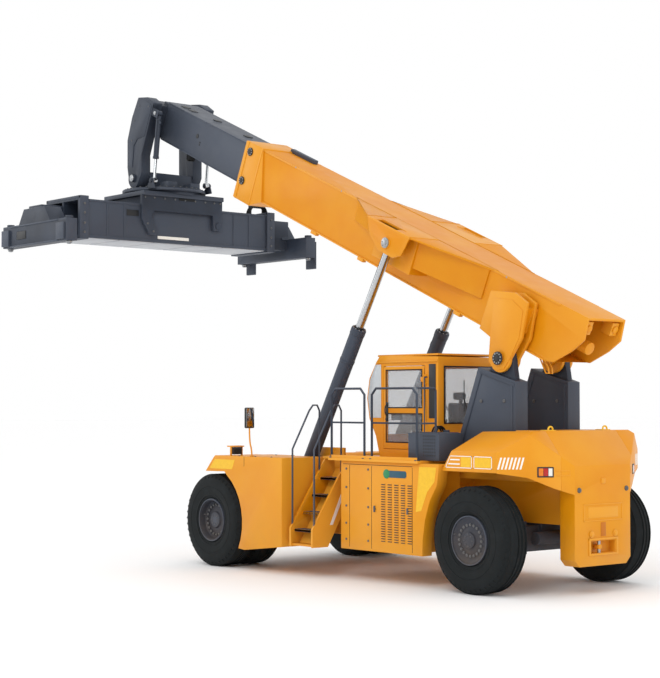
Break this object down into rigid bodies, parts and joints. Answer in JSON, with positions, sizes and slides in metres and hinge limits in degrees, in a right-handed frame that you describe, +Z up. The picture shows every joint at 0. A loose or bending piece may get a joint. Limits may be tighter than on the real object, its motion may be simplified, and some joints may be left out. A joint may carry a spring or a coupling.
{
  "type": "reach stacker",
  "caption": "Container reach stacker with a telescopic boom, a rotating twistlock spreader, steered rear wheels and a hollow cab.",
  "frame": {"origin": "on the ground, below the middle of the whole machine with its spreader at 20 ft", "axes": "+X forward towards the spreader, +Y to the machine's left, +Z up"},
  "size_m": [13.1062, 6.203, 9.0872],
  "materials": {
    "orange_paint": "satin",
    "slate_paint": "satin",
    "tyre_rubber": "matte",
    "chromed_steel": "polished",
    "tinted_glass": "polished",
    "seat_fabric": "matte",
    "lamp_lens": "gloss",
    "cast_iron": "rough"
  },
  "bodies": {
    "chassis": {"main_frame": "orange_paint", "front_axle": "slate_paint", "rear_axle": "slate_paint", "engine_block": "cast_iron", "front_fender_left": "orange_paint", "front_fender_right": "orange_paint", "side_housing_left": "orange_paint", "side_housing_right": "orange_paint", "stairs_left": "orange_paint", "stairs_right": "orange_paint", "deck": "orange_paint", "hydraulic_box": "slate_paint", "work_lamp_left": "lamp_lens", "work_lamp_right": "lamp_lens", "mirror_left": "slate_paint", "mirror_right": "slate_paint", "boom_tower_left": "slate_paint", "boom_tower_right": "slate_paint", "rear_fender_left": "orange_paint", "rear_fender_right": "orange_paint", "counterweight": "orange_paint", "cab_shell": "orange_paint", "windscreen": "tinted_glass", "rear_window": "tinted_glass", "right_window": "tinted_glass", "driver_seat": "seat_fabric", "control_console": "slate_paint"},
    "cab_door": {"cab_door": "orange_paint", "cab_door_window_upper": "tinted_glass", "cab_door_window_lower": "tinted_glass"},
    "boom": {"outer_boom": "orange_paint"},
    "inner_boom": {"inner_boom": "slate_paint", "boom_head": "slate_paint"},
    "rotator": {"rotator": "slate_paint"},
    "spreader_carriage": {"spreader_carriage": "slate_paint"},
    "spreader_beam": {"spreader_beam": "slate_paint"},
    "front_wheels_left": {"front_tyre_outer_left": "tyre_rubber", "front_tyre_inner_left": "tyre_rubber", "front_rims_left": "slate_paint"},
    "rear_knuckle_left": {"rear_knuckle_left": "slate_paint"},
    "rear_wheel_left": {"rear_tyre_left": "tyre_rubber", "rear_rim_left": "slate_paint"},
    "lift_barrel_left": {"lift_left_barrel": "slate_paint"},
    "lift_rod_left": {"lift_left_rod": "chromed_steel"},
    "damper_barrel_left": {"damper_left_barrel": "slate_paint"},
    "damper_rod_left": {"damper_left_rod": "chromed_steel"},
    "spreader_end_left": {"spreader_end_left": "slate_paint"},
    "front_wheels_right": {"front_tyre_outer_right": "tyre_rubber", "front_tyre_inner_right": "tyre_rubber", "front_rims_right": "slate_paint"},
    "rear_knuckle_right": {"rear_knuckle_right": "slate_paint"},
    "rear_wheel_right": {"rear_tyre_right": "tyre_rubber", "rear_rim_right": "slate_paint"},
    "lift_barrel_right": {"lift_right_barrel": "slate_paint"},
    "lift_rod_right": {"lift_right_rod": "chromed_steel"},
    "damper_barrel_right": {"damper_right_barrel": "slate_paint"},
    "damper_rod_right": {"damper_right_rod": "chromed_steel"},
    "spreader_end_right": {"spreader_end_right": "slate_paint"}
  },
  "joints": [
    {"name": "boom_lift", "type": "hinge", "parent": "chassis", "child": "boom", "pos_m": [-5.007, 0, 3.56], "axis": [0, -1, 0], "range_deg": [-23.6, 36.4]},
    {"name": "telescope", "type": "slide", "parent": "boom", "child": "inner_boom", "axis": [0.9164, 0, 0.4004], "range_m": [0, 6.4]},
    {"name": "spreader_tilt", "type": "hinge", "parent": "inner_boom", "child": "rotator", "pos_m": [5.33028, 0, 7.44986], "axis": [0, -1, 0], "range_deg": [-36.4, 23.6]},
    {"name": "spreader_rotation", "type": "hinge", "parent": "rotator", "child": "spreader_carriage", "pos_m": [5.33028, 0, 7.44986], "axis": [0, 0, 1], "range_deg": [-105, 195]},
    {"name": "side_shift", "type": "slide", "parent": "spreader_carriage", "child": "spreader_beam", "axis": [0, 1, 0], "range_m": [-0.8, 0.8]},
    {"name": "spreader_extend_left", "type": "slide", "parent": "spreader_beam", "child": "spreader_end_left", "axis": [0, 1, 0], "range_m": [0, 3.066]},
    {"name": "spreader_extend_right", "type": "slide", "parent": "spreader_beam", "child": "spreader_end_right", "axis": [0, -1, 0], "range_m": [0, 3.066]},
    {"name": "cab_door", "type": "hinge", "parent": "chassis", "child": "cab_door", "pos_m": [-3.33, 0.768, 2], "axis": [0, 0, 1], "range_deg": [0, 55]},
    {"name": "front_wheels_left", "type": "hinge", "parent": "chassis", "child": "front_wheels_left", "pos_m": [0.75, 1.84, 0.81], "axis": [0, 1, 0], "continuous": true},
    {"name": "rear_steer_left", "type": "hinge", "parent": "chassis", "child": "rear_knuckle_left", "pos_m": [-5.25, 1.12, 0.81], "axis": [0, 0, 1], "range_deg": [-50, 50]},
    {"name": "rear_wheel_left", "type": "hinge", "parent": "rear_knuckle_left", "child": "rear_wheel_left", "pos_m": [-5.25, 1.42, 0.81], "axis": [0, 1, 0], "continuous": true},
    {"name": "lift_barrel_left", "type": "hinge", "parent": "chassis", "child": "lift_barrel_left", "pos_m": [-0.35, 0.973, 1.34], "axis": [0, -1, 0], "range_deg": [-3.8, 5.9]},
    {"name": "lift_rod_left", "type": "slide", "parent": "lift_barrel_left", "child": "lift_rod_left", "axis": [-0.5028, 0, 0.8644], "range_m": [-1.14, 1.76]},
    {"name": "damper_barrel_left", "type": "hinge", "parent": "inner_boom", "child": "damper_barrel_left", "pos_m": [4.57051, 0.64, 8.68935], "axis": [0, -1, 0], "range_deg": [-1.5, 2.3]},
    {"name": "damper_rod_left", "type": "slide", "parent": "damper_barrel_left", "child": "damper_rod_left", "axis": [0.1257, 0, -0.9921], "range_m": [-0.37, 0.24]},
    {"name": "front_wheels_right", "type": "hinge", "parent": "chassis", "child": "front_wheels_right", "pos_m": [0.75, -1.84, 0.81], "axis": [0, 1, 0], "continuous": true},
    {"name": "rear_steer_right", "type": "hinge", "parent": "chassis", "child": "rear_knuckle_right", "pos_m": [-5.25, -1.12, 0.81], "axis": [0, 0, 1], "range_deg": [-50, 50]},
    {"name": "rear_wheel_right", "type": "hinge", "parent": "rear_knuckle_right", "child": "rear_wheel_right", "pos_m": [-5.25, -1.42, 0.81], "axis": [0, 1, 0], "continuous": true},
    {"name": "lift_barrel_right", "type": "hinge", "parent": "chassis", "child": "lift_barrel_right", "pos_m": [-0.35, -0.973, 1.34], "axis": [0, -1, 0], "range_deg": [-3.8, 5.9]},
    {"name": "lift_rod_right", "type": "slide", "parent": "lift_barrel_right", "child": "lift_rod_right", "axis": [-0.5028, 0, 0.8644], "range_m": [-1.14, 1.76]},
    {"name": "damper_barrel_right", "type": "hinge", "parent": "inner_boom", "child": "damper_barrel_right", "pos_m": [4.57051, -0.64, 8.68935], "axis": [0, -1, 0], "range_deg": [-1.5, 2.3]},
    {"name": "damper_rod_right", "type": "slide", "parent": "damper_barrel_right", "child": "damper_rod_right", "axis": [0.1257, 0, -0.9921], "range_m": [-0.37, 0.24]}
  ],
  "couplings": [
    {"joint": "spreader_tilt", "follows": "boom_lift", "ratio": -1},
    {"joint": "spreader_extend_right", "follows": "spreader_extend_left", "ratio": 1},
    {"joint": "lift_barrel_left", "follows": "boom_lift", "ratio": 0.16},
    {"joint": "lift_rod_left", "follows": "boom_lift", "m_per_rad": 2.76},
    {"joint": "damper_barrel_left", "follows": "boom_lift", "ratio": 0.06},
    {"joint": "damper_rod_left", "follows": "boom_lift", "m_per_rad": -0.57},
    {"joint": "lift_barrel_right", "follows": "boom_lift", "ratio": 0.16},
    {"joint": "lift_rod_right", "follows": "boom_lift", "m_per_rad": 2.76},
    {"joint": "damper_barrel_right", "follows": "boom_lift", "ratio": 0.06},
    {"joint": "damper_rod_right", "follows": "boom_lift", "m_per_rad": -0.57},
    {"joint": "rear_steer_right", "follows": "rear_steer_left", "ratio": 1}
  ]
}
